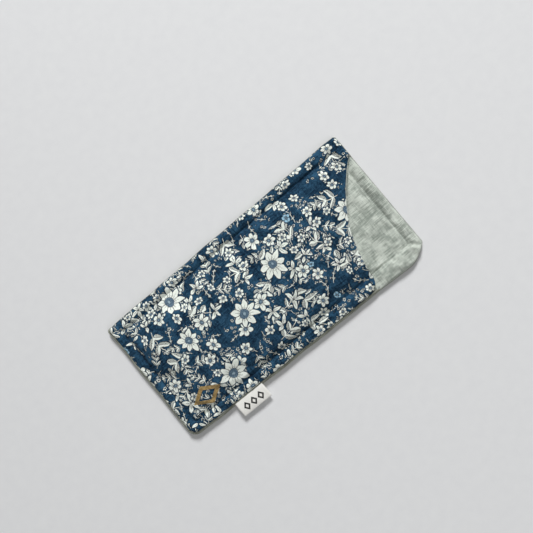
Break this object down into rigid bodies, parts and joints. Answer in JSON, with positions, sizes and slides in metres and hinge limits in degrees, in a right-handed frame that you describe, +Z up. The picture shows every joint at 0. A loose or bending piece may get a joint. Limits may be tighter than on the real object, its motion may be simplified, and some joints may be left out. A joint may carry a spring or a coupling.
{
  "type": "soft glasses pouch",
  "caption": "Padded slip-in glasses pouch with a slanted mouth, a plain back flap, topstitched edges, a foil mark and a side label",
  "frame": {"origin": "on the flat back that the pouch lies on, at the middle of its length and width without the label", "axes": "X along the length from the closed end to the mouth end, Y across towards the side where the mouth reaches furthest, Z up through the thickness from the back to the front"},
  "size_m": [0.18, 0.0954, 0.0113],
  "materials": {
    "printed_cotton": "mid blue cotton with a cream and navy floral print",
    "backing_linen": "plain grey linen",
    "lining_linen": "pale grey-green linen with slubs",
    "fleece": "soft white wadding",
    "thread": "blue polyester thread",
    "grey_thread": "grey polyester thread",
    "gold_foil": "pressed gold foil, satin",
    "woven_tape": "white woven tape"
  },
  "bodies": {
    "root": {"back_outer": "backing_linen", "back_wadding": "fleece", "back_lining": "lining_linen", "border_outer": "printed_cotton", "border_wadding": "fleece", "border_lining": "lining_linen", "perimeter_seam_thread": "thread", "border_topstitch_thread": "thread"},
    "front": {"front_outer": "printed_cotton", "front_wadding": "fleece", "front_lining": "lining_linen", "mouth_seam_thread": "thread", "foil_mark": "gold_foil"},
    "flap": {"flap_outer": "backing_linen", "flap_wadding": "fleece", "flap_lining": "lining_linen", "flap_seam_thread": "grey_thread", "flap_topstitch_thread": "grey_thread"},
    "label": {"side_label": "woven_tape"}
  },
  "joints": [
    {"name": "mouth_open", "type": "hinge", "parent": "root", "child": "front", "pos_m": [-0.0825, 0, 0.0061], "axis": [0, -1, 0], "range_deg": [0, 8]},
    {"name": "flap_fold", "type": "hinge", "parent": "root", "child": "flap", "pos_m": [0.07405, -0.00787, 0.0029], "axis": [-0.4325, -0.9016, 0], "range_deg": [0, 105]},
    {"name": "label_flip", "type": "hinge", "parent": "root", "child": "label", "pos_m": [-0.047, -0.0426, 0.00285], "axis": [-1, 0, 0], "range_deg": [-15, 65]}
  ]
}
